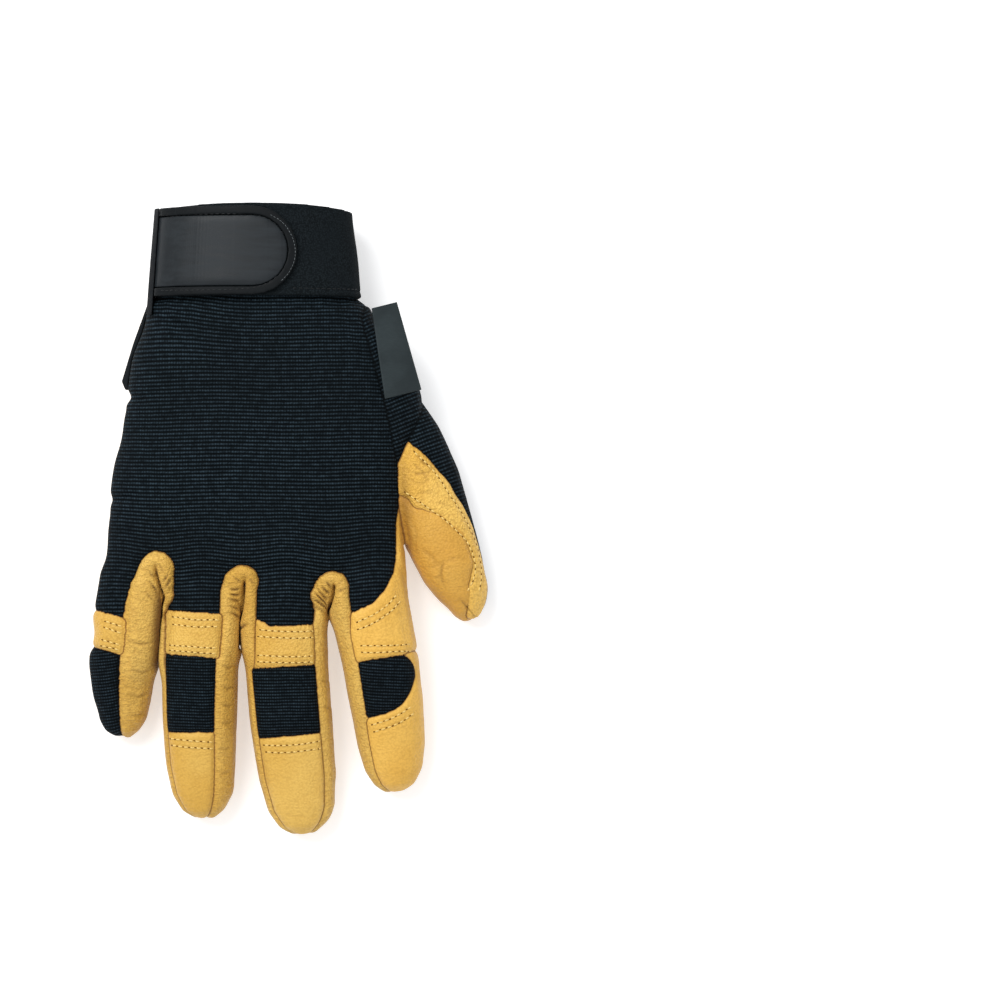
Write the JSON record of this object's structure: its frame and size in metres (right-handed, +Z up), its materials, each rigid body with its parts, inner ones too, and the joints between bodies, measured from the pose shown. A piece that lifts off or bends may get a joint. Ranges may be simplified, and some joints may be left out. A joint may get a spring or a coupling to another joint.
{
  "type": "work glove",
  "caption": "Right-hand work glove with a leather palm, ribbed stretch back, leather knuckle strips and fingertips, and an elastic cuff closed by a wrist strap.",
  "frame": {"origin": "centre of the bounding box's bottom, on the ground under the palm", "axes": "+Z up out of the back of the hand, -Y towards the fingertips, +Y towards the cuff's mouth, +X towards the thumb; the palm lies down"},
  "size_m": [0.1554, 0.2456, 0.0454],
  "materials": {
    "leather": "soft grain, golden tan",
    "rib_knit": "fine ribbed stretch fabric, black",
    "elastic": "matt elastic fabric, black",
    "smooth_black": "smooth synthetic leather, satin black",
    "label_tape": "satin tape, bare, dark grey"
  },
  "bodies": {
    "root": {"palm_panel": "leather", "little_band": "leather", "ring_band": "leather", "middle_band": "leather", "index_band": "leather", "ring_cap": "leather", "middle_cap": "leather", "index_cap": "leather", "fourchette_little_ring": "leather", "fourchette_ring_middle": "leather", "fourchette_middle_index": "leather", "thumb_strip": "leather", "thumb_palm": "leather", "back_panel": "rib_knit", "thumb_gusset": "rib_knit", "thumb_back": "rib_knit", "little_tip": "rib_knit", "ring_insert": "rib_knit", "middle_insert": "rib_knit", "index_insert": "rib_knit", "cuff_band": "elastic", "closure_strap": "smooth_black", "strap_binding": "smooth_black", "strap_hem": "smooth_black", "pull_tab": "smooth_black", "side_label": "label_tape"}
  },
  "joints": []
}
